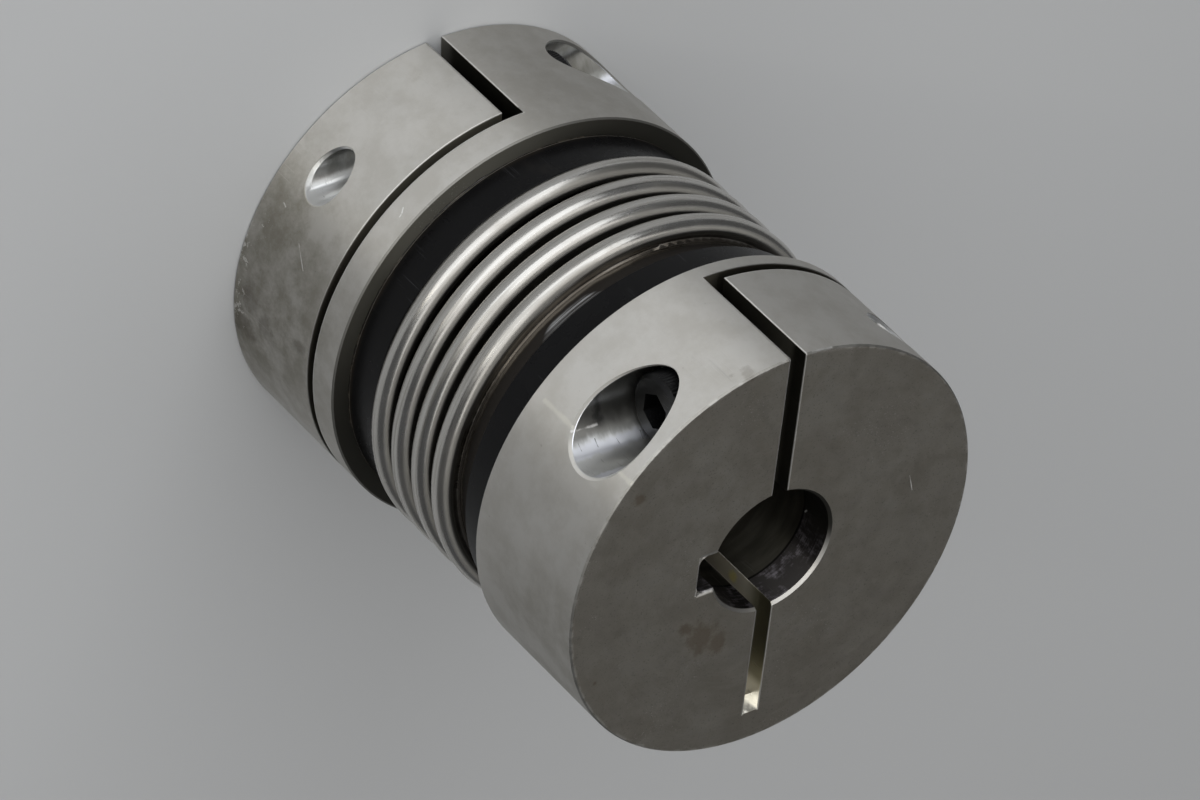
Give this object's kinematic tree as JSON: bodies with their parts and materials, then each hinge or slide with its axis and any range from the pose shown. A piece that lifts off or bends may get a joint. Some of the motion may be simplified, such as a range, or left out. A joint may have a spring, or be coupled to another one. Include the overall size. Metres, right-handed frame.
{
  "type": "bellows coupling",
  "caption": "Metal bellows shaft coupling with a keyed clamping hub at each end, slotted and slit jaws, black cuff rings and socket head clamp screws.",
  "frame": {"origin": "centre of the lower hub's end face, on the shaft axis", "axes": "+Z runs along the shaft axis from the lower hub to the upper hub, +Y points to the upper hub's clamp slot, and the upper hub's screw goes in from -X"},
  "size_m": [0.082, 0.082, 0.1041],
  "materials": {
    "hub_aluminium": "turned, bare, light handling wear",
    "bellows_steel": "formed stainless sheet, bright",
    "ring_black": "black anodised, semi-gloss",
    "screw_black": "black oxide"
  },
  "bodies": {
    "root": {"clamp_hub_upper": "hub_aluminium", "clamp_hub_lower": "hub_aluminium", "metal_bellows": "bellows_steel", "cuff_ring_upper": "ring_black", "cuff_ring_lower": "ring_black", "clamp_screw_upper": "screw_black", "clamp_screw_lower": "screw_black"}
  },
  "joints": []
}
